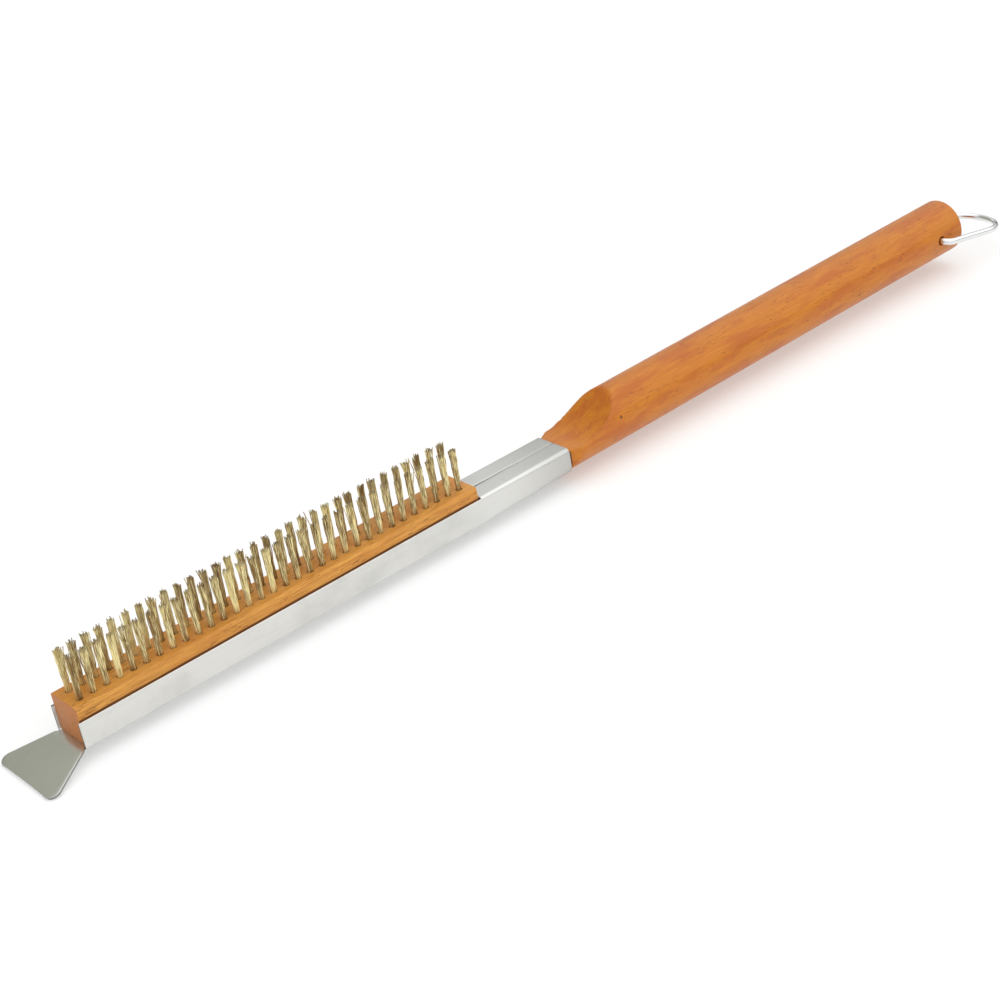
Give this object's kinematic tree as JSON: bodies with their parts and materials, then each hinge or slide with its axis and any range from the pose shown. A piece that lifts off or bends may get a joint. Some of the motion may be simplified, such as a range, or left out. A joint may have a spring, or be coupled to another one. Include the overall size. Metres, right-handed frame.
{
  "type": "grill cleaning brush",
  "caption": "Long straight brush for cooking grids: wire tufts in a wooden block, set in a folded steel frame with a flared scraper, a round wooden handle and a wire hanging ring.",
  "frame": {"origin": "on the flat steel back under the middle of the open channel, midway between its two walls", "axes": "+X along the brush from the scraper towards the handle, +Y across it, +Z out of the back towards the tips of the tufts"},
  "size_m": [0.69, 0.0492, 0.0517],
  "materials": {
    "sheet_steel": "satin",
    "block_wood": "clear varnish, semi-gloss",
    "handle_wood": "stained and varnished, semi-gloss",
    "tuft_wire": "drawn wire, dull",
    "ring_wire": "bright",
    "screws": "zinc plated",
    "anchor_wire": "flat drawn wire"
  },
  "bodies": {
    "brush": {"steel_frame": "sheet_steel", "brush_block": "block_wood", "handle": "handle_wood", "block_screw_1": "screws", "block_screw_2": "screws", "handle_screw_1": "screws", "handle_screw_2": "screws", "near_row_anchors": "anchor_wire", "far_row_anchors": "anchor_wire", "tuft_pair_01": "tuft_wire", "tuft_pair_02": "tuft_wire", "tuft_pair_03": "tuft_wire", "tuft_pair_04": "tuft_wire", "tuft_pair_05": "tuft_wire", "tuft_pair_06": "tuft_wire", "tuft_pair_07": "tuft_wire", "tuft_pair_08": "tuft_wire", "tuft_pair_09": "tuft_wire", "tuft_pair_10": "tuft_wire", "tuft_pair_11": "tuft_wire", "tuft_pair_12": "tuft_wire", "tuft_pair_13": "tuft_wire", "tuft_pair_14": "tuft_wire", "tuft_pair_15": "tuft_wire", "tuft_pair_16": "tuft_wire", "tuft_pair_17": "tuft_wire", "tuft_pair_18": "tuft_wire", "tuft_pair_19": "tuft_wire", "tuft_pair_20": "tuft_wire", "tuft_pair_21": "tuft_wire", "tuft_pair_22": "tuft_wire", "tuft_pair_23": "tuft_wire", "tuft_pair_24": "tuft_wire", "tuft_pair_25": "tuft_wire", "tuft_pair_26": "tuft_wire", "tuft_pair_27": "tuft_wire", "tuft_pair_28": "tuft_wire", "tuft_pair_29": "tuft_wire", "tuft_pair_30": "tuft_wire", "tuft_pair_31": "tuft_wire", "tuft_pair_32": "tuft_wire"},
    "ring": {"hang_ring": "ring_wire"}
  },
  "joints": [
    {"name": "ring_swing", "type": "hinge", "parent": "brush", "child": "ring", "pos_m": [0.48284, 0, 0.01643], "axis": [0, -1, 0], "range_deg": [-151, 172]}
  ]
}
